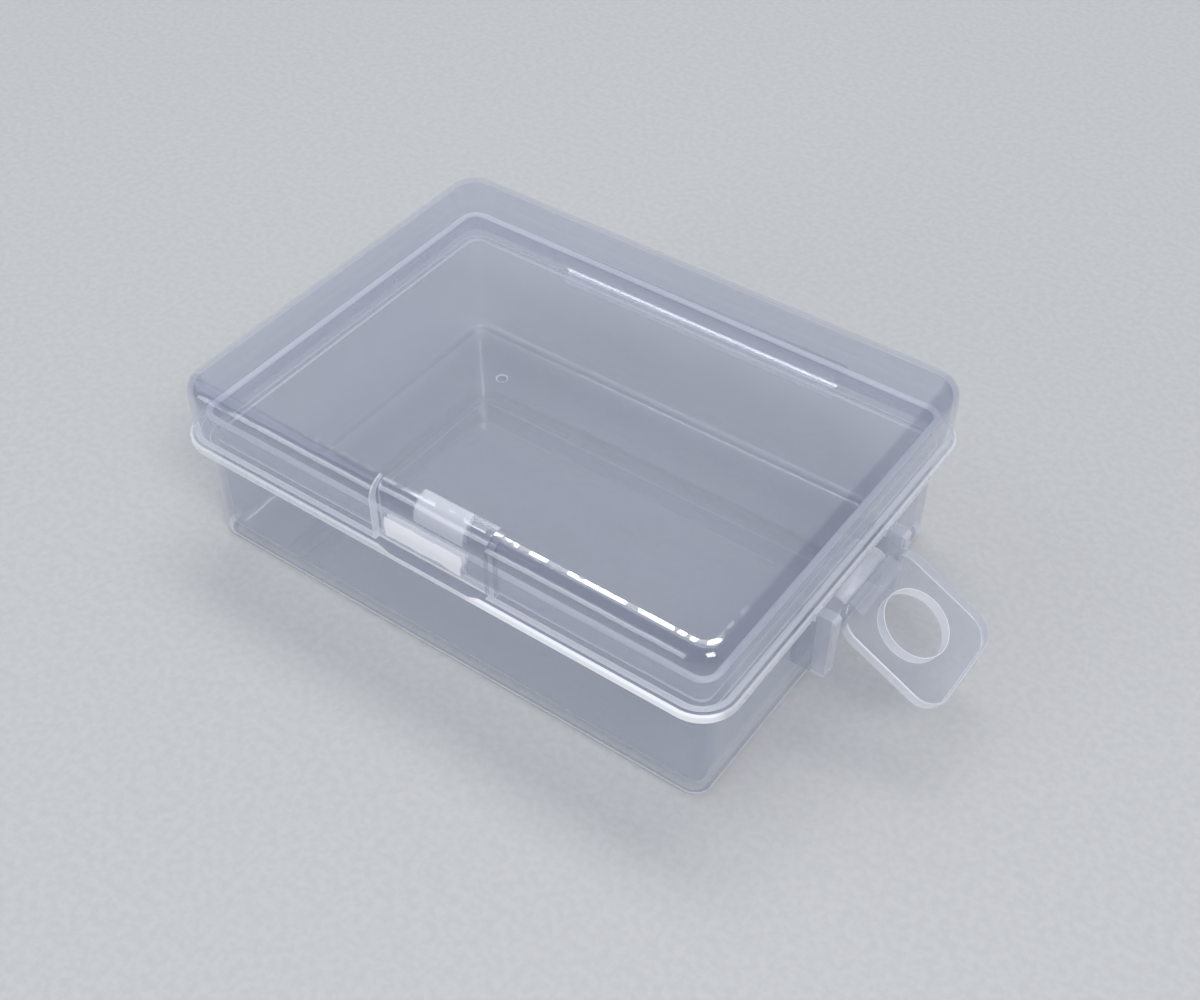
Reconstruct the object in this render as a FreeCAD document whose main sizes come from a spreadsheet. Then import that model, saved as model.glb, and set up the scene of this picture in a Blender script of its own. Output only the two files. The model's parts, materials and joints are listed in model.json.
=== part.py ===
import FreeCAD, Part
import math
import os

import Sketcher

# A clear polypropylene hinged box with a hang tab. Millimetres, +Z up. The origin is the centre of the
# tray's underside, +X points to the hang tab, and the lid opens from its front, -Y, about the rear.

os.makedirs("parts", exist_ok=True)
doc = FreeCAD.newDocument("pick_holder")

# Every size is measured on the closed box. An "inset" is how far a wall's outer face stands inside the
# rim's outer edge, because rim, lid and tray all have the same rounded outline at different insets.
SIZES = [
    ("rim_length", 88.0, "rim, outer length along X"),
    ("rim_width", 65.0, "rim, outer width along Y"),
    ("rim_radius", 5.4, "rim, corner radius seen from above"),
    ("rim_bottom", 18.0, "rim, height of its underside"),
    ("rim_thickness", 1.3, "rim, thickness"),
    ("rim_round", 0.3, "rim, rounding of its outer edges"),
    ("tray_inset", 2.6, "tray walls and lip, inset"),
    ("tray_wall", 1.0, "tray walls, floor and lip, thickness"),
    ("tray_foot_round", 1.4, "tray, outer rounding where wall meets floor"),
    ("tray_floor_round", 1.6, "tray, inner rounding where wall meets floor"),
    ("lip_top", 22.7, "lip, height of its top edge"),
    ("lip_round", 0.3, "lip, rounding of its top edges"),
    ("box_height", 29.0, "closed box, height"),
    ("lid_inset", 0.7, "lid skirt, inset"),
    ("lid_wall", 0.8, "lid skirt and top panel, thickness"),
    ("lid_gap", 0.05, "play between the rim and the lid that sits on it"),
    ("lid_foot_round", 0.2, "lid, outer rounding of the bottom edge"),
    ("lid_top_round", 2.8, "lid, outer rounding of the top edge"),
    ("recess_centre", 0.8, "thumb recess, centre along X"),
    ("recess_width", 18.0, "thumb recess, width"),
    ("recess_depth", 0.9, "thumb recess, depth"),
    ("scoop_width", 16.2, "fingernail scoop in the rim, width at the rim's top"),
    ("scoop_floor_width", 12.8, "fingernail scoop, width at its floor, between its sloping ends"),
    ("scoop_reach", 1.7, "fingernail scoop, how far it runs in from the rim's edge"),
    ("scoop_depth", 0.7, "fingernail scoop, depth below the rim's top"),
    ("bead_proud", 0.15, "snap beads, how far they stand out"),
    ("lid_bead_x", -1.0, "lid's snap bead, centre along X"),
    ("lid_bead_width", 12.1, "lid's snap bead, length along X"),
    ("lid_bead_level", 19.9, "lid's snap bead, height of its middle"),
    ("lid_bead_height", 1.0, "lid's snap bead, height"),
    ("tray_bead_x", -0.2, "tray's snap bead, centre along X"),
    ("tray_bead_width", 12.4, "tray's snap bead, length along X"),
    ("tray_bead_level", 21.0, "tray's snap bead, height of its middle"),
    ("tray_bead_height", 0.6, "tray's snap bead, height"),
    ("hinge_width", 48.0, "lid hinge, length along X"),
    ("hinge_leaf", 1.2, "raised strip on the lid's skirt at the hinge, height"),
    ("hinge_rib_drop", 2.0, "rib under the rim at the hinge, how far it runs down the wall"),
    ("hinge_rib_reach", 1.2, "rib under the rim at the hinge, how far it stands out from the wall"),
    ("web_thickness", 0.3, "hinge webs, thickness"),
    ("web_bend", 0.65, "lid hinge web, radius of its bend at mid-thickness"),
    ("web_run", 0.4, "lid hinge web, from the rim's edge to the centre of its bend"),
    ("mark_x", -28.7, "ejector mark in the floor, place along X"),
    ("mark_y", 19.8, "ejector mark, place along Y"),
    ("mark_radius", 0.9, "ejector mark, radius"),
    ("mark_depth", 0.15, "ejector mark, depth"),
    ("stop_thickness", 1.7, "tab stops, thickness along Y"),
    ("stop_spacing", 16.4, "clear width between the two tab stops"),
    ("stop_reach", 3.0, "tab stops, how far their top stands out past the rim"),
    ("stop_taper", 0.4, "tab stops, how much less their lower end stands out"),
    ("stop_bottom", 8.7, "tab stops, height of their lower edge"),
    ("stop_round", 0.6, "tab stops, rounding of the outer corners"),
    ("tab_width", 17.4, "hang tab, width along Y"),
    ("tab_length", 17.1, "hang tab, length away from its hinge"),
    ("tab_thickness", 1.65, "hang tab, thickness"),
    ("tab_radius", 3.7, "hang tab, corner radius"),
    ("tab_edge_round", 0.3, "hang tab, rounding of its edges"),
    ("tab_start", 1.1, "hang tab, from its hinge axis to its root"),
    ("tab_tilt", 27.7, "hang tab, degrees below level at rest"),
    ("tab_axis_out", 0.9, "hang tab's hinge axis, distance out from the rim's edge"),
    ("tab_axis_level", 18.45, "hang tab's hinge axis, height"),
    ("tab_web_width", 10.4, "hang tab's hinge web, width along Y"),
    ("hang_hole", 9.4, "hang hole, diameter"),
    ("hang_hole_out", 9.35, "hang hole, from the tab's hinge axis to its centre"),
    ("overcut", 1.0, "how far a cut starts outside the face it cuts into"),
]

sheet = doc.addObject("Spreadsheet::Sheet", "Sizes")
for row, (alias, value, note) in enumerate(SIZES, start=1):
    sheet.set(f"A{row}", note)
    sheet.set(f"B{row}", str(value))
    sheet.setAlias(f"B{row}", alias)
doc.recompute()

# Places that several pieces share, as expressions on the sheet.
RIM_TOP = "Sizes.rim_bottom + Sizes.rim_thickness"
RIM_REAR = "Sizes.rim_width / 2"
RIM_RIGHT = "Sizes.rim_length / 2"
LID_BOTTOM = f"{RIM_TOP} + Sizes.lid_gap"
LIP_FRONT = "-Sizes.rim_width / 2 + Sizes.tray_inset"
SKIRT_FRONT = "-Sizes.rim_width / 2 + Sizes.lid_inset"
SKIRT_REAR = "Sizes.rim_width / 2 - Sizes.lid_inset"
RECESS_INNER = f"{SKIRT_FRONT} + Sizes.recess_depth + Sizes.lid_wall"

ORIGIN_POINT = (-1, 1)
START, END, CENTRE = 1, 2, 3
UP = FreeCAD.Vector(0, 0, 1)
NEAR = 1e-4


# ---- sketches ----

def new_sketch(body, name, role, offset=None):
    """A sketch on one of the body's own origin planes, moved along the plane's normal by an expression."""
    sketch = body.newObject("Sketcher::SketchObject", name)
    plane = next(feature for feature in body.Origin.OriginFeatures if feature.Role == role)
    sketch.AttachmentSupport = [(plane, "")]
    sketch.MapMode = "FlatFace"
    if offset is not None:
        sketch.setExpression("AttachmentOffset.Base.z", offset)
    return sketch


def constrain(sketch, kind, *places, size=None):
    """Add one constraint. With a size it is a dimension, bound to that expression."""
    if size is None:
        sketch.addConstraint(Sketcher.Constraint(kind, *places))
        return
    if kind == "Radius":
        drawn = sketch.Geometry[places[0]].Radius
    else:
        point = sketch.getPoint(*places[-2:])
        drawn = point.x if kind == "DistanceX" else point.y
    index = sketch.addConstraint(Sketcher.Constraint(kind, *places, drawn))
    sketch.renameConstraint(index, f"{kind}_{index}")
    sketch.setExpression(f"Constraints.{kind}_{index}", size)


def polygon(sketch, corners):
    """A closed outline with each corner at a pair of expressions. It is first drawn round a circle."""
    turn = 2 * math.pi / len(corners)
    drawn = [
        FreeCAD.Vector(5 * math.cos(n * turn + 0.3), 5 * math.sin(n * turn + 0.3), 0)
        for n in range(len(corners))
    ]
    lines = sketch.addGeometry([Part.LineSegment(a, b) for a, b in zip(drawn, drawn[1:] + drawn[:1])])
    for line, following in zip(lines, lines[1:] + lines[:1]):
        constrain(sketch, "Coincident", line, END, following, START)
    for line, (across, along) in zip(lines, corners):
        constrain(sketch, "DistanceX", *ORIGIN_POINT, line, START, size=across)
        constrain(sketch, "DistanceY", *ORIGIN_POINT, line, START, size=along)


def rectangle(sketch, left, bottom, right, top):
    polygon(sketch, [(left, bottom), (right, bottom), (right, top), (left, top)])


def circle(sketch, across, along, radius):
    """A circle with its centre at a pair of expressions."""
    ring = sketch.addGeometry(Part.Circle(FreeCAD.Vector(1, 1, 0), UP, 2))
    constrain(sketch, "DistanceX", *ORIGIN_POINT, ring, CENTRE, size=across)
    constrain(sketch, "DistanceY", *ORIGIN_POINT, ring, CENTRE, size=along)
    constrain(sketch, "Radius", ring, size=radius)


def rounded_rectangle(sketch, half_length, half_width, radius, drawn=(44.0, 32.5, 5.0)):
    """A rectangle centred on the origin with four equal corner arcs, first drawn near its final size."""
    x, y, r = drawn
    first = sketch.addGeometry([
        Part.LineSegment(FreeCAD.Vector(r - x, -y, 0), FreeCAD.Vector(x - r, -y, 0)),
        Part.LineSegment(FreeCAD.Vector(x, r - y, 0), FreeCAD.Vector(x, y - r, 0)),
        Part.LineSegment(FreeCAD.Vector(x - r, y, 0), FreeCAD.Vector(r - x, y, 0)),
        Part.LineSegment(FreeCAD.Vector(-x, y - r, 0), FreeCAD.Vector(-x, r - y, 0)),
    ])[0]
    quarter = math.pi / 2
    centres = [(x - r, r - y), (x - r, y - r), (r - x, y - r), (r - x, r - y)]
    arcs = sketch.addGeometry([
        Part.ArcOfCircle(Part.Circle(FreeCAD.Vector(*centre, 0), UP, r), (n - 1) * quarter, n * quarter)
        for n, centre in enumerate(centres)
    ])
    for n, arc in enumerate(arcs):
        constrain(sketch, "Tangent", first + n, END, arc, START)
        constrain(sketch, "Tangent", arc, END, first + (n + 1) % 4, START)
        constrain(sketch, "Horizontal" if n % 2 == 0 else "Vertical", first + n)
    for arc in arcs[1:]:
        constrain(sketch, "Equal", arcs[0], arc)
    constrain(sketch, "Symmetric", arcs[0], CENTRE, arcs[2], CENTRE, *ORIGIN_POINT)
    constrain(sketch, "DistanceX", *ORIGIN_POINT, first + 1, START, size=half_length)
    constrain(sketch, "DistanceY", *ORIGIN_POINT, first + 2, START, size=half_width)
    constrain(sketch, "Radius", arcs[0], size=radius)


def box_outline(sketch, inset):
    """The box's rounded outline at an inset, an expression, from the rim's outer edge."""
    rounded_rectangle(
        sketch,
        f"Sizes.rim_length / 2 - ({inset})",
        f"Sizes.rim_width / 2 - ({inset})",
        f"Sizes.rim_radius - ({inset})",
    )


def wall_outline(sketch, far, wall, bottom, top, high, radius):
    """Section across the lid's front: up a wall, over a quarter round and back along the far side.

    Along the sketch's first axis the far side is at far and the wall at wall; the wall starts at bottom
    and its quarter round ends at the height top, from where a step leads to the height high.
    """
    drawn_far, drawn_wall, drawn_round = -34.0, -30.5, 2.5
    drawn_bottom, drawn_top, drawn_high = 19.0, 28.5, 30.0
    centre_x, centre_z = drawn_wall + drawn_round, drawn_top - drawn_round
    corners = [
        (drawn_wall, centre_z),
        (drawn_wall, drawn_bottom),
        (drawn_far, drawn_bottom),
        (drawn_far, drawn_high),
        (centre_x, drawn_high),
        (centre_x, drawn_top),
    ]
    first = sketch.addGeometry([
        Part.LineSegment(FreeCAD.Vector(*a, 0), FreeCAD.Vector(*b, 0)) for a, b in zip(corners, corners[1:])
    ])[0]
    last = first + len(corners) - 2
    circle = Part.Circle(FreeCAD.Vector(centre_x, centre_z, 0), UP, drawn_round)
    arc = sketch.addGeometry(Part.ArcOfCircle(circle, math.pi / 2, math.pi))
    for line in range(first, last):
        constrain(sketch, "Coincident", line, END, line + 1, START)
    constrain(sketch, "Coincident", last, END, arc, START)
    constrain(sketch, "Tangent", arc, END, first, START)
    for line in range(first, last + 1):
        constrain(sketch, "Vertical" if (line - first) % 2 == 0 else "Horizontal", line)
    constrain(sketch, "Vertical", arc, CENTRE, last, END)
    constrain(sketch, "Radius", arc, size=radius)
    constrain(sketch, "DistanceX", *ORIGIN_POINT, first, END, size=wall)
    constrain(sketch, "DistanceY", *ORIGIN_POINT, first, END, size=bottom)
    constrain(sketch, "DistanceX", *ORIGIN_POINT, first + 2, START, size=far)
    constrain(sketch, "DistanceY", *ORIGIN_POINT, first + 3, START, size=high)
    constrain(sketch, "DistanceY", *ORIGIN_POINT, last, END, size=top)


# ---- features ----

def new_body(label):
    body = doc.addObject("PartDesign::Body", label)
    body.Label = label
    return body


def pad(body, sketch, length, both_ways=False):
    feature = body.newObject("PartDesign::Pad", f"Pad_{sketch.Name}")
    feature.Profile = sketch
    feature.setExpression("Length", length)
    feature.Midplane = both_ways
    sketch.Visibility = False
    doc.recompute()
    return feature


def pocket(body, sketch, length, both_ways=False, reverse=False):
    """Cut the sketch into the body, and make sure that it took something away."""
    before = body.Shape.Volume
    feature = body.newObject("PartDesign::Pocket", f"Pocket_{sketch.Name}")
    feature.Profile = sketch
    feature.setExpression("Length", length)
    feature.Midplane = both_ways
    feature.Reversed = reverse
    doc.recompute()
    if not body.Shape.Volume < before - NEAR:
        raise RuntimeError(f"{feature.Name} cuts nothing")
    return feature


def edge_names(shape, wanted):
    return [f"Edge{n}" for n, edge in enumerate(shape.Edges, start=1) if wanted(edge)]


def level_at(height):
    """Picks the edges that lie level at a height."""
    return lambda edge: (
        abs(edge.BoundBox.ZMin - height) < NEAR and abs(edge.BoundBox.ZMax - height) < NEAR
    )


def fillet(body, radius, wanted):
    """Round the wanted edges of the body as it is so far."""
    base = body.Tip
    feature = body.newObject("PartDesign::Fillet", f"Fillet_{body.Name}")
    feature.Base = (base, edge_names(base.Shape, wanted))
    feature.setExpression("Radius", radius)
    doc.recompute()
    return feature


def sheet_value(alias):
    return sheet.get(alias)


def on_outline(inset, height):
    """Picks the level edges at a height that lie on the box's outline at an inset."""
    radius = sheet_value("rim_radius")
    straight_x = sheet_value("rim_length") / 2 - radius
    straight_y = sheet_value("rim_width") / 2 - radius
    level = level_at(height)

    def wanted(edge):
        if not level(edge):
            return False
        middle = edge.valueAt((edge.FirstParameter + edge.LastParameter) / 2)
        past_x = max(abs(middle.x) - straight_x, 0)
        past_y = max(abs(middle.y) - straight_y, 0)
        return abs(radius - math.hypot(past_x, past_y) - inset) < NEAR

    return wanted


# ---- the tray and what is moulded on it ----

def base_tray():
    body = new_body("base_tray")
    wall, rim_bottom = sheet_value("tray_wall"), sheet_value("rim_bottom")
    rim_top = rim_bottom + sheet_value("rim_thickness")

    outside = new_sketch(body, "tray_outside", "XY_Plane")
    box_outline(outside, "Sizes.tray_inset")
    pad(body, outside, "Sizes.lip_top")
    fillet(body, "Sizes.tray_foot_round", level_at(0))

    rim = new_sketch(body, "rim_outline", "XY_Plane", "Sizes.rim_bottom")
    box_outline(rim, "0")
    pad(body, rim, "Sizes.rim_thickness")
    for height in (rim_bottom, rim_top):
        fillet(body, "Sizes.rim_round", on_outline(0, height))

    inside = new_sketch(body, "tray_inside", "XY_Plane", "Sizes.lip_top")
    box_outline(inside, "Sizes.tray_inset + Sizes.tray_wall")
    pocket(body, inside, "Sizes.lip_top - Sizes.tray_wall")
    fillet(body, "Sizes.tray_floor_round", level_at(wall))
    fillet(body, "Sizes.lip_round", level_at(sheet_value("lip_top")))

    scoop = new_sketch(body, "fingernail_scoop", "XZ_Plane", "Sizes.rim_width / 2 + Sizes.overcut")
    scoop_floor = f"{RIM_TOP} - Sizes.scoop_depth"
    polygon(scoop, [
        ("Sizes.recess_centre - Sizes.scoop_floor_width / 2", scoop_floor),
        ("Sizes.recess_centre + Sizes.scoop_floor_width / 2", scoop_floor),
        ("Sizes.recess_centre + Sizes.scoop_width / 2", RIM_TOP),
        ("Sizes.recess_centre - Sizes.scoop_width / 2", RIM_TOP),
    ])
    pocket(body, scoop, "Sizes.scoop_reach + Sizes.overcut")

    rib = new_sketch(body, "hinge_rib", "YZ_Plane")
    wall_rear = "Sizes.rim_width / 2 - Sizes.tray_inset"
    polygon(rib, [
        (wall_rear, "Sizes.rim_bottom - Sizes.hinge_rib_drop"),
        (f"{wall_rear} + Sizes.hinge_rib_reach", "Sizes.rim_bottom"),
        (wall_rear, "Sizes.rim_bottom"),
    ])
    pad(body, rib, "Sizes.hinge_width", both_ways=True)

    mark = new_sketch(body, "ejector_mark", "XY_Plane", "Sizes.tray_wall")
    circle(mark, "Sizes.mark_x", "Sizes.mark_y", "Sizes.mark_radius")
    pocket(body, mark, "Sizes.mark_depth")
    return body


def snap_bead(label, wall, side):
    """A ridge along X on the face of a wall, on the wall's given side. Its crest is half as high."""
    body = new_body(label)
    owner = label.removesuffix("_catch_bead")
    section = new_sketch(body, f"{label}_section", "YZ_Plane", f"Sizes.{owner}_bead_x")
    level, height = f"Sizes.{owner}_bead_level", f"Sizes.{owner}_bead_height"
    crest = f"{wall} + {side} * Sizes.bead_proud"
    polygon(section, [
        (wall, f"{level} - {height} / 2"),
        (crest, f"{level} - {height} / 4"),
        (crest, f"{level} + {height} / 4"),
        (wall, f"{level} + {height} / 2"),
    ])
    pad(body, section, f"Sizes.{owner}_bead_width", both_ways=True)
    return body


def tab_stop(label, side):
    """A rib that stands out from the tray's wall and wraps the rim's edge, flush with the rim's top."""
    body = new_body(label)
    middle = f"{side} * (Sizes.stop_spacing + Sizes.stop_thickness) / 2"
    section = new_sketch(body, f"{label}_section", "XZ_Plane", f"-({middle})")
    wall = f"{RIM_RIGHT} - Sizes.tray_inset"
    reach = f"{RIM_RIGHT} + Sizes.stop_reach"
    polygon(section, [
        (wall, "Sizes.stop_bottom"),
        (f"{reach} - Sizes.stop_taper", "Sizes.stop_bottom"),
        (reach, RIM_TOP),
        (RIM_RIGHT, RIM_TOP),
        (RIM_RIGHT, "Sizes.rim_bottom"),
        (wall, "Sizes.rim_bottom"),
    ])
    pad(body, section, "Sizes.stop_thickness", both_ways=True)
    rim_edge = sheet_value("rim_length") / 2
    fillet(body, "Sizes.stop_round", lambda edge: (
        edge.BoundBox.XMin > rim_edge + NEAR and edge.BoundBox.ZLength < NEAR
        and edge.BoundBox.XLength < NEAR
    ))
    return body


# ---- the lid ----

def lid_shell():
    body = new_body("lid_shell")
    top = sheet_value("box_height")
    bottom = sheet_value("rim_bottom") + sheet_value("rim_thickness") + sheet_value("lid_gap")

    outside = new_sketch(body, "lid_outside", "XY_Plane", LID_BOTTOM)
    box_outline(outside, "Sizes.lid_inset")
    pad(body, outside, f"Sizes.box_height - ({LID_BOTTOM})")
    inside = new_sketch(body, "lid_inside", "XY_Plane", LID_BOTTOM)
    box_outline(inside, "Sizes.lid_inset + Sizes.lid_wall")
    pocket(body, inside, f"Sizes.box_height - Sizes.lid_wall - ({LID_BOTTOM})", reverse=True)
    fillet(body, "Sizes.lid_top_round - Sizes.lid_wall", level_at(top - sheet_value("lid_wall")))
    fillet(body, "Sizes.lid_foot_round", on_outline(sheet_value("lid_inset"), bottom))

    # The wall behind the thumb recess is stepped inwards, and carries the recess's sides.
    behind = new_sketch(body, "recess_wall", "YZ_Plane", "Sizes.recess_centre")
    wall_outline(
        behind,
        far=f"{SKIRT_FRONT} + Sizes.lid_wall / 2",
        wall=RECESS_INNER,
        bottom=LID_BOTTOM,
        top="Sizes.box_height - Sizes.lid_wall",
        high="Sizes.box_height - Sizes.lid_wall / 2",
        radius="Sizes.lid_top_round - Sizes.lid_wall",
    )
    pad(body, behind, "Sizes.recess_width + 2 * Sizes.lid_wall", both_ways=True)
    fillet(body, "Sizes.lid_top_round", level_at(top))

    recess = new_sketch(body, "thumb_recess", "YZ_Plane", "Sizes.recess_centre")
    wall_outline(
        recess,
        far="-Sizes.rim_width / 2 - Sizes.overcut",
        wall=f"{SKIRT_FRONT} + Sizes.recess_depth",
        bottom="Sizes.rim_bottom",
        top="Sizes.box_height",
        high="Sizes.box_height + Sizes.overcut",
        radius="Sizes.lid_top_round",
    )
    pocket(body, recess, "Sizes.recess_width", both_ways=True)
    return body


def lid_hinge_leaf():
    body = new_body("lid_hinge_leaf")
    face = new_sketch(body, "hinge_leaf_face", "XY_Plane", LID_BOTTOM)
    rectangle(face, "-Sizes.hinge_width / 2", SKIRT_REAR, "Sizes.hinge_width / 2", RIM_REAR)
    pad(body, face, "Sizes.hinge_leaf")
    rear = sheet_value("rim_width") / 2
    top = body.Shape.BoundBox.ZMax
    fillet(body, "Sizes.rim_round", lambda edge: (
        edge.BoundBox.YMin > rear - NEAR and (level_at(top)(edge) or edge.BoundBox.XLength < NEAR)
    ))
    return body


# ---- the hang tab ----

def hang_tab():
    """Drawn lying flat with its hinge axis along the body's own Y, then tilted about that axis."""
    body = new_body("hang_tab")
    plate = new_sketch(body, "tab_plate", "XY_Plane")
    rounded_rectangle(
        plate, "Sizes.tab_length / 2", "Sizes.tab_width / 2", "Sizes.tab_radius", drawn=(8.0, 8.5, 3.0)
    )
    plate.setExpression("AttachmentOffset.Base.x", "Sizes.tab_start + Sizes.tab_length / 2")
    pad(body, plate, "Sizes.tab_thickness", both_ways=True)
    half = sheet_value("tab_thickness") / 2
    for height in (-half, half):
        fillet(body, "Sizes.tab_edge_round", level_at(height))
    hole = new_sketch(body, "hang_hole", "XY_Plane")
    circle(hole, "Sizes.hang_hole_out", "0", "Sizes.hang_hole / 2")
    pocket(body, hole, "2 * Sizes.tab_thickness", both_ways=True)
    tilt_at_tab_axis(body)
    return body


def tilt_at_tab_axis(piece):
    """Put a piece's own origin on the tab's hinge axis and turn it down by the tab's tilt."""
    piece.Placement = FreeCAD.Placement(
        FreeCAD.Vector(0, 0, 0), FreeCAD.Rotation(FreeCAD.Vector(0, 1, 0), sheet_value("tab_tilt"))
    )
    piece.setExpression("Placement.Base.x", f"{RIM_RIGHT} + Sizes.tab_axis_out")
    piece.setExpression("Placement.Base.z", "Sizes.tab_axis_level")
    piece.setExpression("Placement.Rotation.Angle", "Sizes.tab_tilt")
    doc.recompute()


# ---- the hinge webs ----

def primitive(kind, name, sizes, corner):
    """A Part primitive with its sizes and its place bound to expressions."""
    shape = doc.addObject(f"Part::{kind}", name)
    for prop, size in sizes.items():
        shape.setExpression(prop, size)
    for axis, place in zip("xyz", corner):
        shape.setExpression(f"Placement.Base.{axis}", place)
    return shape


def joined(label, pieces):
    union = doc.addObject("Part::MultiFuse", label)
    union.Label = label
    union.Shapes = pieces
    union.Refine = True
    doc.recompute()
    return union


def lid_hinge_web():
    """A strip that leaves the rim's edge, bends up through a half circle and runs into the lid's leaf."""
    left, thickness = "-Sizes.hinge_width / 2", "Sizes.web_thickness"
    run = {"Length": "Sizes.hinge_width", "Width": "Sizes.web_run", "Height": thickness}
    runs = [
        primitive("Box", f"web_run_{end}", run, (
            left, RIM_REAR, f"{RIM_TOP} {sign} Sizes.web_bend - {thickness} / 2"
        ))
        for end, sign in (("rim", "-"), ("lid", "+"))
    ]
    turned = FreeCAD.Rotation(FreeCAD.Vector(0, 1, 0), 90)
    drums = []
    for name, sign in (("outer", "+"), ("inner", "-")):
        drum = doc.addObject("Part::Cylinder", f"web_bend_{name}")
        drum.Placement = FreeCAD.Placement(FreeCAD.Vector(0, 0, 0), turned)
        drum.Angle = 180
        drum.setExpression("Radius", f"Sizes.web_bend {sign} {thickness} / 2")
        drum.setExpression("Height", "Sizes.hinge_width")
        drum.setExpression("Placement.Base.x", left)
        drum.setExpression("Placement.Base.y", f"{RIM_REAR} + Sizes.web_run")
        drum.setExpression("Placement.Base.z", RIM_TOP)
        drums.append(drum)
    bend = doc.addObject("Part::Cut", "web_bend")
    bend.Base, bend.Tool = drums
    return joined("lid_hinge_web", runs + [bend])


def tab_hinge_web():
    """A strip that leaves the rim level, bends down at the tab's hinge axis and meets the tab's root."""
    thickness, side = "Sizes.web_thickness", "-Sizes.tab_web_width / 2"
    level_run = primitive(
        "Box",
        "tab_web_rim",
        {"Length": "Sizes.tab_axis_out", "Width": "Sizes.tab_web_width", "Height": thickness},
        (RIM_RIGHT, side, f"Sizes.tab_axis_level - {thickness} / 2"),
    )
    knuckle = doc.addObject("Part::Cylinder", "tab_web_bend")
    knuckle.Placement = FreeCAD.Placement(
        FreeCAD.Vector(0, 0, 0), FreeCAD.Rotation(FreeCAD.Vector(1, 0, 0), -90)
    )
    knuckle.setExpression("Radius", f"{thickness} / 2")
    knuckle.setExpression("Height", "Sizes.tab_web_width")
    knuckle.setExpression("Placement.Base.x", f"{RIM_RIGHT} + Sizes.tab_axis_out")
    knuckle.setExpression("Placement.Base.y", side)
    knuckle.setExpression("Placement.Base.z", "Sizes.tab_axis_level")
    tilted = primitive(
        "Box",
        "tab_web_root",
        {"Length": "Sizes.tab_start", "Width": "Sizes.tab_web_width", "Height": thickness},
        ("0", side, f"-{thickness} / 2"),
    )
    carrier = doc.addObject("Part::Compound", "tab_web_tilted")
    carrier.Links = [tilted]
    tilt_at_tab_axis(carrier)
    return joined("tab_hinge_web", [level_run, knuckle, carrier])


# ---- build, check and write ----

PIECES = [
    base_tray(),
    tab_stop("tab_stop_front", -1),
    tab_stop("tab_stop_rear", 1),
    snap_bead("tray_catch_bead", LIP_FRONT, -1),
    lid_hinge_web(),
    tab_hinge_web(),
    lid_shell(),
    lid_hinge_leaf(),
    snap_bead("lid_catch_bead", RECESS_INNER, 1),
    hang_tab(),
]

doc.recompute()
for thing in doc.Objects:
    if "Invalid" in thing.State or "Error" in thing.State:
        raise RuntimeError(f"{thing.Label} didn't build: {thing.State}")
for piece in PIECES:
    if piece.Shape.isNull() or not piece.Shape.isValid() or len(piece.Shape.Solids) != 1:
        raise RuntimeError(f"{piece.Label} isn't one valid solid")
for piece in PIECES:
    piece.Shape.exportStep(f"parts/{piece.Label}.step")
    extent = piece.Shape.optimalBoundingBox()
    print(
        f"{piece.Label:18s} {piece.Shape.Volume:9.2f} mm3  x {extent.XMin:.2f} {extent.XMax:.2f}"
        f"  y {extent.YMin:.2f} {extent.YMax:.2f}  z {extent.ZMin:.2f} {extent.ZMax:.2f}"
    )
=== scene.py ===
import json
import math

import bpy
from mathutils import Matrix, Vector


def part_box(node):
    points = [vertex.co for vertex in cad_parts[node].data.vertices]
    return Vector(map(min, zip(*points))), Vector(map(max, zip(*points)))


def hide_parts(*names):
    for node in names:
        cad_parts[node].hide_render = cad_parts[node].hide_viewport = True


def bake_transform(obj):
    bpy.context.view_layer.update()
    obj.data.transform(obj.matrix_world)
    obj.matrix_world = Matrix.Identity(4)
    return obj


# A clear polypropylene hinged box with a hang tab, closed and empty on a pale floor. Metres, +Z up.

MM = 0.001

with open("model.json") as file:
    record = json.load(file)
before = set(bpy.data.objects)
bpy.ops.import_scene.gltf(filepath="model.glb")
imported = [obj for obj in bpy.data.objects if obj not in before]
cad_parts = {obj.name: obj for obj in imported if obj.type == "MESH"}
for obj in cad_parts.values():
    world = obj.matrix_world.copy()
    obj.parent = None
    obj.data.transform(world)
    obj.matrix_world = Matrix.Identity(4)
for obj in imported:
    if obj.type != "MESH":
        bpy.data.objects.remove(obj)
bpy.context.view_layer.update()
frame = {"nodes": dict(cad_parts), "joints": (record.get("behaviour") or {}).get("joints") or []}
joints = {joint["name"]: joint for joint in frame["joints"]}


# ---- materials ----

MILK = (0.41, 0.435, 0.53)  # the haze in the plastic
WHITE = (0.96, 0.955, 0.965)  # frosted faces, thick edges and painted highlights
TINT = (0.945, 0.950, 0.966)  # what each clear face lets through
PAINTED_SHADE_TINT = (0.76, 0.77, 0.83)  # a darker tint: painted shade where a near shoulder bends light away
GLOW = 0.42  # the share of the haze's light that comes through from behind
MIRROR_HEAD_ON, MIRROR_EDGE_ON = 0.045, 0.9
WAVE_HEIGHT = 0.2 * MM


class Value:
    """A number or vector in a material's node tree, with ordinary arithmetic."""

    def __init__(self, graph, socket):
        self.graph = graph
        self.socket = socket

    def __add__(self, other):
        return self.graph.math("ADD", self, other)

    def __sub__(self, other):
        return self.graph.math("SUBTRACT", self, other)

    def __rsub__(self, other):
        return self.graph.math("SUBTRACT", other, self)

    def __mul__(self, other):
        return self.graph.math("MULTIPLY", self, other)

    def __pow__(self, other):
        return self.graph.math("POWER", self, other)

    def __abs__(self):
        return self.graph.math("ABSOLUTE", self)

    def hypotenuse(self, other):
        return (self * self + other * other) ** 0.5

    def at_least(self, other):
        return self.graph.math("MAXIMUM", self, other)

    def at_most(self, other):
        return self.graph.math("MINIMUM", self, other)


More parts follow.
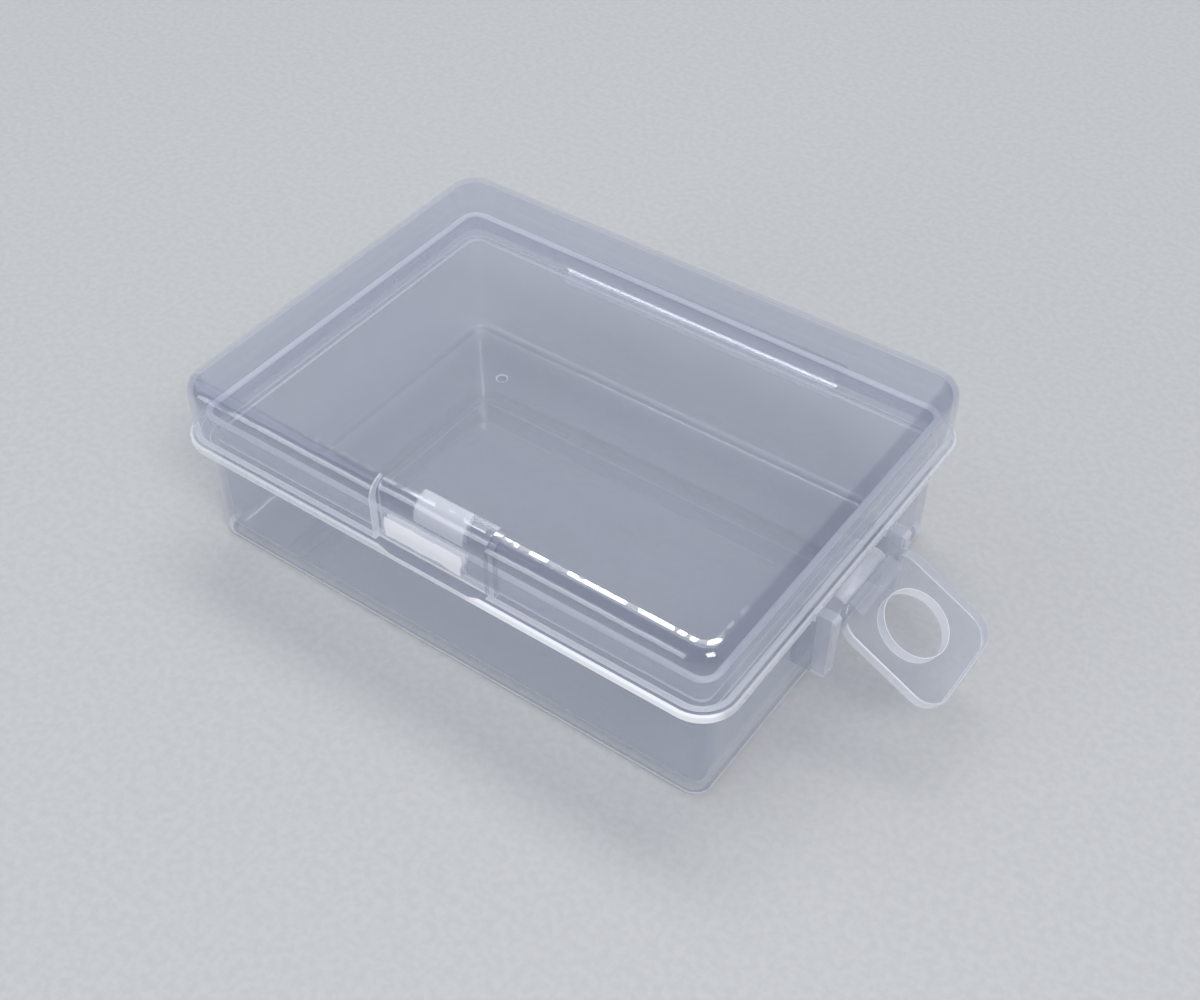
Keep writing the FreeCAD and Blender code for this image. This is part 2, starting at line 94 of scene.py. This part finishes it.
class Graph:
    """A material's node tree, with short calls that each add a node or two."""

    def __init__(self, name):
        self.material = bpy.data.materials.new(name)
        self.material.use_nodes = True
        self.tree = self.material.node_tree
        self.tree.nodes.clear()
        self.place = self.add("ShaderNodeTexCoord", out="Object")

    def add(self, kind, inputs=None, out=0, **settings):
        """Add a node with its settings and inputs, and give back one of its outputs."""
        made = self.tree.nodes.new(kind)
        for name, value in settings.items():
            setattr(made, name, value)
        for key, value in (inputs or {}).items():
            if isinstance(value, Value):
                self.tree.links.new(value.socket, made.inputs[key])
            else:
                made.inputs[key].default_value = value
        return Value(self, made.outputs[out])

    def math(self, operation, first, second=0.0):
        return self.add("ShaderNodeMath", {0: first, 1: second}, operation=operation)

    def axes(self, place=None):
        """The three coordinates of a place, by default the place on the object."""
        split = self.add("ShaderNodeSeparateXYZ", {0: place or self.place})
        return [Value(self, output) for output in split.socket.node.outputs]

    def ramp(self, value, start, end, low=0.0, high=1.0):
        """Runs smoothly from low to high as value goes from start to end."""
        inputs = {"Value": value, "From Min": start, "From Max": end, "To Min": low, "To Max": high}
        return self.add("ShaderNodeMapRange", inputs, interpolation_type="SMOOTHSTEP")

    def band(self, value, low, high, soft=0.1 * MM):
        """1 between low and high, with soft ends, and 0 outside."""
        rise = self.ramp(value, low - soft, low + soft)
        return rise * self.ramp(value, high - soft, high + soft, 1.0, 0.0)

    def noise(self, scale, detail=2.0, stretch=(1.0, 1.0, 1.0)):
        """Soft random values near a half. scale is in waves a metre, and stretch scales each axis."""
        place = self.add("ShaderNodeMapping", {"Vector": self.place, "Scale": stretch})
        inputs = {"Vector": place, "Scale": scale, "Detail": detail}
        return self.add("ShaderNodeTexNoise", inputs, out="Fac")

    def inset(self, across, along, half_length, half_width, radius):
        """How far a place lies inside a rounded rectangle's edge, down to its corner radius."""
        past_x = (abs(across) - (half_length - radius)).at_least(0.0)
        past_y = (abs(along) - (half_width - radius)).at_least(0.0)
        return radius - past_x.hypotenuse(past_y)

    def blend(self, share, first, second):
        """A colour between two, given as red, green and blue."""
        node = self.tree.nodes.new("ShaderNodeMix")
        node.data_type = "RGBA"
        self.tree.links.new(share.socket, node.inputs["Factor"])
        node.inputs["A"].default_value = (*first, 1)
        node.inputs["B"].default_value = (*second, 1)
        return Value(self, node.outputs["Result"])

    def mix(self, share, first, second):
        return self.add("ShaderNodeMixShader", {0: share, 1: first, 2: second})

    def finish(self, shader):
        output = self.tree.nodes.new("ShaderNodeOutputMaterial")
        self.tree.links.new(shader.socket, output.inputs["Surface"])
        return self.material


def polypropylene(graph, haze, white, edge_haze=0.35, mirror=None, matte=None, still=None, shade=None):
    """Clear plastic with a milky haze, which thickens and whitens where a wall is seen edge on.

    white says how white each place is, such as a frosted face, a thick edge or a painted highlight. mirror
    says how much more of the light it throws back, matte how much rougher it is, still how free it is of
    ripples, and shade how far each place is painted darker, as painted shade.
    """
    facing = graph.add("ShaderNodeLayerWeight", {"Blend": 0.5}, out="Facing")
    clouds = graph.ramp(graph.noise(90, 3, (0.6, 1.6, 1)), 0.3, 0.7, 0.82, 1.18)
    whiteness = (facing ** 2.5 * edge_haze).at_least(white)
    cover = (clouds * haze + whiteness).at_most(0.97)
    milk = graph.blend((whiteness * 1.6).at_most(1.0), MILK, WHITE)

    ripple = 0.5
    roughness = graph.ramp(graph.noise(500, 2), 0.4, 0.75, 0.05, 0.10) + white * 0.4
    if still is not None:
        ripple = (1.0 - still) * 0.5
        roughness = roughness * (1.0 - still) + 0.02
    if matte is not None:
        roughness = roughness + matte
    waves = {"Strength": ripple, "Distance": WAVE_HEIGHT, "Height": graph.noise(160, 1)}
    normal = graph.add("ShaderNodeBump", waves)

    lit = graph.add("ShaderNodeBsdfDiffuse", {"Color": milk, "Normal": normal})
    glow = graph.add("ShaderNodeBsdfTranslucent", {"Color": milk, "Normal": normal})
    # painted shade: where shade is given, each clear face lets through a darker tint
    tint = (*TINT, 1) if shade is None else graph.blend(shade, TINT, PAINTED_SHADE_TINT)
    clear = graph.add("ShaderNodeBsdfTransparent", {"Color": tint})
    wall = graph.mix(cover, clear, graph.mix(GLOW, lit, glow))
    mirror_share = facing ** 5.0 * MIRROR_EDGE_ON + MIRROR_HEAD_ON
    if mirror is not None:
        mirror_share = mirror_share.at_least(mirror)
    polish = {"Color": (1, 1, 1, 1), "Roughness": roughness, "Normal": normal}
    return graph.finish(graph.mix(mirror_share, wall, graph.add("ShaderNodeBsdfGlossy", polish)))


tray_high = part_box("base_tray")[1]
lid_low, lid_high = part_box("lid_shell")
tab_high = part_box("hang_tab")[1]
stop_low, stop_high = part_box("tab_stop_front")
lid_axis = Vector(joints["lid_hinge"]["pos_m"])
tab_axis = Vector(joints["tab_hinge"]["pos_m"])

TRAY_CORNER, LID_CORNER = 5.4 * MM, 4.7 * MM
WALL, FLOOR_TOP, FOOT_TOP = 1.0 * MM, 1.0 * MM, 1.5 * MM
RIM_TOP = lid_axis.z
RIM_BOTTOM = RIM_TOP - 1.3 * MM
LIP_INSET = 2.6 * MM
LIP_SIDE = tray_high.y - LIP_INSET
MARK_X, MARK_Y, MARK_RADIUS = -28.7 * MM, 19.8 * MM, 0.9 * MM
HINGE_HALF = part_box("lid_hinge_web")[1].x
RIB_BOTTOM, RIB_LINE_BOTTOM, RIB_LINE_TOP = 15.9 * MM, 17.3 * MM, 17.95 * MM
SCOOP_RIGHT = 9.8 * MM
LATCH_LEFT, LATCH_RIGHT = -7.2 * MM, 5.4 * MM
TRAY_LATCH_TOP, LID_LATCH_BOTTOM, LID_LATCH_TOP = 23.0 * MM, 19.9 * MM, 23.5 * MM
RECESS_LEFT = -8.2 * MM
PATCH_LEFT, PATCH_RIGHT, PATCH_BOTTOM = -2.0 * MM, 6.0 * MM, 25.5 * MM
SHOULDER = 2.8 * MM
WEB_THICKNESS = 0.3 * MM
TAB_TILT = math.radians(27.7)
TAB_ROOT, TAB_LENGTH, TAB_CORNER = 1.1 * MM, 17.1 * MM, 3.7 * MM
TAB_ROOT_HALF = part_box("tab_hinge_web")[1].y
HOLE_FROM_AXIS, HOLE_RADIUS = 9.35 * MM, 4.7 * MM


def largest(values):
    """The largest of several values, place by place."""
    top = values[0]
    for value in values[1:]:
        top = top.at_least(value)
    return top


def rim_white_and_highlight(graph, x, z, inset, at_front):
    """The rim's outer face, whitened as a thick edge, with a painted highlight that makes its front the
    whitest to the right of the scoop.
    """
    face = graph.band(z, RIM_BOTTOM - 0.1 * MM, RIM_TOP + 0.1 * MM) * graph.band(inset, -0.3 * MM, 0.4 * MM)
    # painted highlight on the front of the rim, right of the scoop
    painted_highlight_past_scoop = graph.ramp(x, SCOOP_RIGHT - 3.8 * MM, SCOOP_RIGHT + 0.2 * MM, 0, 0.45)
    return face * (painted_highlight_past_scoop * at_front + 0.5)


def lip_white_and_highlights(graph, z, inset, at_front, at_hinge):
    """The lip's crest and the line where the walls meet the rim, with painted highlights along both, the
    crest's weaker along the front, and a little of the lip itself, painted whiter at the hinge.
    """
    # painted highlight along the crest, weaker at the front
    crest = graph.band(z, tray_high.z - 0.35 * MM, tray_high.z + 0.2 * MM) * (0.6 - at_front * 0.35)
    # painted highlight along the foot of the rim
    under_rim = graph.band(z, RIM_BOTTOM - 0.3 * MM, RIM_BOTTOM + 0.3 * MM) * 0.75
    lip = graph.ramp(z, RIM_TOP - 0.2 * MM, RIM_TOP + 0.2 * MM) * (at_hinge * 0.1 + 0.25)
    in_walls = graph.band(inset, LIP_INSET - 0.2 * MM, LIP_INSET + WALL + 0.2 * MM)
    return in_walls * largest([crest, under_rim, lip])


def foot_white_and_highlight(graph, x, y, z, inset):
    """The rounded foot, whitened a little all round, with a painted highlight along the front and the tab's
    side.
    """
    front = graph.ramp(y, -28 * MM, -24 * MM, 1, 0.2)
    tab_side = graph.ramp(x, 38 * MM, 41 * MM, 0.2, 1)
    outside = graph.ramp(inset, 3.0 * MM, 3.4 * MM, 1, 0)
    # painted highlight: the foot is whitest on the front and the tab's side
    return graph.ramp(z, FLOOR_TOP, FOOT_TOP, 1, 0) * outside * front.at_least(tab_side) * 0.6


def latch_patch(graph, x, z, bottom, top, soft):
    """The place at the latch that is frosted, with an edge that wanders."""
    wander = (graph.noise(240, 1) - 0.5) * (1.4 * MM)
    height = graph.band(z + wander, bottom, top, soft)
    return graph.band(x + wander, LATCH_LEFT, LATCH_RIGHT, 0.3 * MM) * height


def latch_white(graph, x, y, z):
    """The frosted front of the lip, behind the thumb recess."""
    patch = latch_patch(graph, x, z, RIM_TOP + 0.3 * MM, TRAY_LATCH_TOP, 0.1 * MM)
    return patch * graph.band(y, -LIP_SIDE - 0.4 * MM, -LIP_SIDE + 0.5 * MM) * 0.95


def stop_white(graph, x, z):
    """The two stops beside the tab, whitest at their feet and along their outer edges."""
    past_rim = graph.ramp(x, tray_high.x + 0.3 * MM, tray_high.x + 0.5 * MM)
    foot = graph.ramp(z, stop_low.z + 0.3 * MM, stop_low.z + 0.6 * MM, 1, 0)
    edge = graph.ramp(x, stop_high.x - 0.68 * MM, stop_high.x - 0.38 * MM)
    return past_rim * (foot.at_least(edge) * 0.15 + 0.25)


def mark_white(graph, x, y, z):
    """A fine ring round the ejector mark in the floor."""
    to_mark = (x - MARK_X).hypotenuse(y - MARK_Y)
    ring = graph.band(to_mark, MARK_RADIUS - 0.15 * MM, MARK_RADIUS + 0.15 * MM, 0.08 * MM)
    return ring * graph.ramp(z, FLOOR_TOP + 0.1 * MM, FLOOR_TOP + 0.3 * MM, 0.7, 0)


def tray_plastic():
    """Clear walls on a polished floor, with a bright line along the rib at the lid's hinge, a painted
    highlight that also mirrors the lamps, and painted light on the rib below it and on the rim's ledge
    above.
    """
    graph = Graph("tray_plastic")
    x, y, z = graph.axes()
    inset = graph.inset(x, y, tray_high.x, tray_high.y, TRAY_CORNER)
    at_front = graph.ramp(y, -31 * MM, -29 * MM, 1, 0)
    at_rear = graph.ramp(y, LIP_SIDE - 0.7 * MM, LIP_SIDE - 0.2 * MM)
    at_hinge = graph.band(x, -HINGE_HALF, HINGE_HALF) * at_rear

    # painted highlight along the hinge rib, near-white, which also mirrors the lamps
    rib_highlight = at_hinge * graph.band(z, RIB_LINE_BOTTOM, RIB_LINE_TOP)
    # painted light: a lighter band on the rib below the line and on the ledge above it
    rib_foot_painted_light = at_hinge * graph.band(z, RIB_BOTTOM, RIB_LINE_BOTTOM) * 0.25
    ledge_painted_light = at_hinge * graph.band(z, RIM_TOP - 0.2 * MM, RIM_TOP + 0.3 * MM) * 0.8
    white = largest([
        rim_white_and_highlight(graph, x, z, inset, at_front),
        lip_white_and_highlights(graph, z, inset, at_front, at_hinge),
        foot_white_and_highlight(graph, x, y, z, inset),
        latch_white(graph, x, y, z),
        stop_white(graph, x, z),
        mark_white(graph, x, y, z),
        rib_highlight * 0.95,
        rib_foot_painted_light,
        ledge_painted_light,
    ])
    floor_top = graph.band(z, FLOOR_TOP - 0.1 * MM, FLOOR_TOP + 0.05 * MM, 0.03 * MM)
    mirror = (rib_highlight * 0.9).at_least(floor_top * 0.2)
    low_walls = graph.band(z, FLOOR_TOP + 0.1 * MM, 2.6 * MM)
    floor_round = low_walls * graph.ramp(inset, 3.5 * MM, 3.6 * MM, 0, 0.35)
    still = floor_top.at_least(rib_highlight)
    return polypropylene(graph, 0.10, white, mirror=mirror, matte=floor_round, still=still)


def crown_glint(graph, x, y, z, inset):
    """A broken bright line along the near edge of the lid's top, weaker left of the frosted patch."""
    dashes = graph.ramp(graph.noise(520, 1, (1, 0.8, 0.4)), 0.45, 0.52)
    strength = graph.ramp(x, PATCH_LEFT - 2 * MM, PATCH_LEFT, 0.35, 1)
    along = graph.ramp(x, -24 * MM, -20 * MM) * strength
    near_edge = graph.ramp(y, -24 * MM, -20 * MM, 1, 0) * along
    crown = graph.band(inset, SHOULDER - 0.7 * MM, SHOULDER - 0.05 * MM)
    top = graph.ramp(z, lid_high.z - 0.6 * MM, lid_high.z - 0.4 * MM)
    return crown * top * near_edge * dashes * 0.4


def painted_shoulder_shade(graph, x, y, z, inset):
    """Painted shade on the near shoulders, along the front and the tab's side, standing in for the light
    they bend away.
    """
    front = graph.ramp(y, -29 * MM, -28.6 * MM, 1, 0)
    tab_side = graph.ramp(x, 40 * MM, 40.4 * MM, 0, 0.7)
    shoulder = graph.band(inset, 0.3 * MM, SHOULDER - 0.5 * MM, 0.3 * MM)
    return shoulder * graph.ramp(z, 24.5 * MM, 26 * MM) * front.at_least(tab_side)


def lid_plastic():
    """Clear, with a white lower edge, a frosted patch and latch wall, a painted highlight at one recess
    end, and painted shade on the near shoulders.
    """
    graph = Graph("lid_plastic")
    x, y, z = graph.axes()
    inset = graph.inset(x, y, lid_high.x, lid_high.y, LID_CORNER)
    at_front = graph.ramp(y, -29.5 * MM, -29 * MM, 1, 0)

    lower_edge = graph.ramp(z, lid_low.z + 0.15 * MM, lid_low.z + 0.4 * MM, 0.6, 0)
    over_patch = graph.ramp(z, PATCH_BOTTOM - 0.2 * MM, PATCH_BOTTOM + 0.2 * MM)
    patch = graph.band(x, PATCH_LEFT, PATCH_RIGHT, 0.3 * MM) * over_patch
    upper_frost = patch * graph.ramp(y, -28.3 * MM, -27.9 * MM, 0.4, 0)
    latch_wall = latch_patch(graph, x, z, LID_LATCH_BOTTOM, LID_LATCH_TOP, 0.3 * MM) * 0.65
    # painted highlight down the left end of the thumb recess
    recess_end_highlight = graph.band(x, RECESS_LEFT - 0.3 * MM, RECESS_LEFT + 0.15 * MM) * 0.45
    white = largest([lower_edge, upper_frost, at_front * latch_wall.at_least(recess_end_highlight)])

    glint = crown_glint(graph, x, y, z, inset)
    # painted shade darkens the near shoulders of the lid
    return polypropylene(graph, 0.09, white, mirror=glint, shade=painted_shoulder_shade(graph, x, y, z, inset))


def tab_plastic():
    """The plate's outline and the wall of its hole are white, because they are seen through its length."""
    graph = Graph("tab_plastic")
    centre = {"Vector": graph.place, "Center": tuple(tab_axis), "Angle": -TAB_TILT}
    flat = graph.add("ShaderNodeVectorRotate", centre, rotation_type="Y_AXIS")
    x, y, z = graph.axes(flat)
    out = x - tab_axis.x
    middle = out - (TAB_ROOT + TAB_LENGTH / 2)
    inset = graph.inset(middle, y, TAB_LENGTH / 2, tab_high.y, TAB_CORNER)
    past_root = graph.ramp(out, TAB_ROOT + 0.8 * MM, TAB_ROOT + 2 * MM)
    outline = graph.ramp(inset, 0.1 * MM, 0.35 * MM, 0.5, 0) * past_root
    from_hole = (out - HOLE_FROM_AXIS).hypotenuse(y)
    ring = graph.ramp(from_hole, HOLE_RADIUS, HOLE_RADIUS + 0.2 * MM, 0.7, 0)
    on_top = graph.ramp(z - tab_axis.z, 0.6 * MM, 0.8 * MM)
    root = graph.band(y, -TAB_ROOT_HALF, TAB_ROOT_HALF, 0.2 * MM) * on_top
    root = root * graph.ramp(out, 3.4 * MM, 3.7 * MM, 0.2, 0)
    return polypropylene(graph, 0.10, largest([outline, ring, root]), edge_haze=0.5)


def hinge_plastic():
    """Thin and slightly whitened, in fine streaks across the bend."""
    graph = Graph("hinge_plastic")
    white = graph.ramp(graph.noise(700, 2, (1, 0.4, 0.4)), 0.3, 0.7, 0.31, 0.4)
    return polypropylene(graph, 0.10, white, edge_haze=0.6, matte=0.25)


def catch_plastic():
    """Frosted all over."""
    graph = Graph("catch_plastic")
    return polypropylene(graph, 0.1, graph.ramp(graph.noise(300, 2), 0.3, 0.7, 0.4, 0.55))


MAKERS = (tray_plastic, lid_plastic, tab_plastic, hinge_plastic, catch_plastic)
MATERIALS = {make.__name__: make() for make in MAKERS}

for piece in frame["nodes"].values():
    for material_slot in piece.material_slots:
        material_slot.material = MATERIALS[material_slot.name.split(".")[0]]


# ---- the two hinge webs, which bend ----

def strip(name, path, normals, left, right, along):
    """A thin strip that follows a path, swept along one axis from left to right."""
    half = WEB_THICKNESS / 2
    rings = []
    for point, normal in zip(path, normals):
        for side in (half, -half):
            rings.append(point + normal * side)
    verts = [p + along * left for p in rings] + [p + along * right for p in rings]
    count = len(rings)
    faces = []
    for a in range(0, count - 2, 2):
        faces.append((a, a + 2, a + 3, a + 1))
        faces.append((count + a, count + a + 1, count + a + 3, count + a + 2))
        faces.append((a, count + a, count + a + 2, a + 2))
        faces.append((a + 1, a + 3, count + a + 3, count + a + 1))
    last = count - 2
    faces.append((0, 1, count + 1, count))
    faces.append((last, count + last, count + last + 1, last + 1))
    mesh = bpy.data.meshes.new(name)
    mesh.from_pydata([tuple(v) for v in verts], [], faces)
    mesh.validate()
    piece = bpy.data.objects.new(name, mesh)
    bpy.context.scene.collection.objects.link(piece)
    mesh.materials.append(MATERIALS["hinge_plastic"])
    for polygon in mesh.polygons:
        polygon.use_smooth = True
    return piece


def replace_web(web, node):
    """Put a strip in place of the CAD node: bake its placement and hide the node."""
    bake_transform(web)
    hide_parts(node)


def bend_lid_web():
    """The lid's web, a U lying on its side round the hinge axis."""
    low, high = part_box("lid_hinge_web")
    middle = Vector((0, lid_axis.y, lid_axis.z))
    half_turns, up = 6, Vector((0, 0, 1))
    bend = min((high.z - low.z) / 2, high.y - lid_axis.y) - WEB_THICKNESS / 2
    straight = [Vector((0, y, lid_axis.z)) for y in (low.y, (low.y + lid_axis.y) / 2)]
    path = [point - up * bend for point in straight]
    normals = [-up, -up]
    for step in range(-half_turns, half_turns + 1):
        angle = math.pi / 2 * step / half_turns
        out = Vector((0, math.cos(angle), math.sin(angle)))
        path.append(middle + out * bend)
        normals.append(out)
    path += [point + up * bend for point in reversed(straight)]
    normals += [up, up]
    web = strip("lid_web", path, normals, low.x, high.x, Vector((1, 0, 0)))
    replace_web(web, "lid_hinge_web")


def bend_tab_web():
    """The tab's web, level out to the hinge axis and then down along the tab."""
    low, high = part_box("tab_hinge_web")
    middle = Vector((tab_axis.x, 0, tab_axis.z))
    down = Vector((math.cos(TAB_TILT), 0, -math.sin(TAB_TILT)))
    rim = Vector((low.x, 0, tab_axis.z))
    root = middle + down * TAB_ROOT
    shares = (0, 0.35, 0.65, 0.8, 0.9)
    path = [rim.lerp(middle, share) for share in shares]
    path += [middle]
    path += [root.lerp(middle, share) for share in reversed(shares)]
    tilts = [0] * len(shares) + [TAB_TILT / 2] + [TAB_TILT] * len(shares)
    normals = [Vector((math.sin(tilt), 0, math.cos(tilt))) for tilt in tilts]
    web = strip("tab_web", path, normals, low.y, high.y, Vector((0, 1, 0)))
    replace_web(web, "tab_hinge_web")


bend_lid_web()
bend_tab_web()


# ---- floor, light and camera ----

def floor_material():
    """Pale and finely mottled, and a little paler in the distance."""
    graph = Graph("pale_floor")
    x, y, z = graph.axes()
    shade = graph.ramp(graph.noise(900, 3), 0.3, 0.7, 0.37, 0.40)
    paler_far_off = graph.ramp(x.hypotenuse(y), 0.4, 1.5, 0, 0.5)
    polish = {"Base Color": shade + paler_far_off, "Roughness": 0.6}
    return graph.finish(graph.add("ShaderNodeBsdfPrincipled", polish))


# The floor lies a hair above the tray's underside, so that the two faces don't share a plane.
FLOOR_SIZE, OVER_UNDERSIDE = 6.0, 0.02 * MM

bpy.ops.mesh.primitive_plane_add(size=FLOOR_SIZE, location=(0, 0, OVER_UNDERSIDE))
floor = bpy.context.object
floor.name = "floor"
floor.data.materials.append(floor_material())


def softbox(name, place, width, depth, power, colour=(1, 1, 1), faces=None):
    """A rectangular soft light at a place, facing the box, or against the direction given."""
    light = bpy.data.lights.new(name, "AREA")
    light.shape = "RECTANGLE"
    light.size, light.size_y = width, depth
    light.energy = power
    light.color = colour
    lamp = bpy.data.objects.new(name, light)
    bpy.context.scene.collection.objects.link(lamp)
    lamp.location = place
    lamp.rotation_mode = "QUATERNION"
    lamp.rotation_quaternion = Vector(faces or place).to_track_quat("Z", "Y")


softbox("key", place=(0.50, -0.29, 0.69), width=0.30, depth=0.30, power=3.8)
softbox("overhead", place=(-0.12, 0.295, 0.8), width=0.66, depth=0.27, power=2.8, faces=(0, 0, 1))
softbox("front", place=(-0.28, -0.60, 0.21), width=0.36, depth=0.26, power=1.3)
softbox("fill", place=(-0.72, -0.26, 0.64), width=0.6, depth=0.6, power=1.5, colour=(0.85, 0.92, 1.0))

world = bpy.data.worlds.new("studio")
world.use_nodes = True
background = world.node_tree.nodes["Background"]
background.inputs["Color"].default_value = (0.82, 0.87, 0.96, 1)
background.inputs["Strength"].default_value = 0.74
bpy.context.scene.world = world
bpy.context.scene.view_settings.view_transform = "Standard"

AZIMUTH, ELEVATION, ROLL = math.radians(35.33), math.radians(44.18), math.radians(0.35)
DISTANCE = 234.4 * MM
AIM = Vector((5.41, -1.21, 10.0)) * MM
SENSOR, LENS = 36.0, 50.48

lens = bpy.data.cameras.new("camera")
lens.sensor_width = SENSOR
lens.lens = LENS
lens.clip_start, lens.clip_end = 0.01, 20
camera = bpy.data.objects.new("camera", lens)
bpy.context.scene.collection.objects.link(camera)
level = math.cos(ELEVATION)
back = Vector((math.sin(AZIMUTH) * level, -math.cos(AZIMUTH) * level, math.sin(ELEVATION)))
turn = back.to_track_quat("Z", "Y").to_matrix().to_4x4() @ Matrix.Rotation(ROLL, 4, "Z")
camera.matrix_world = Matrix.Translation(AIM + back * DISTANCE) @ turn
bpy.context.scene.camera = camera
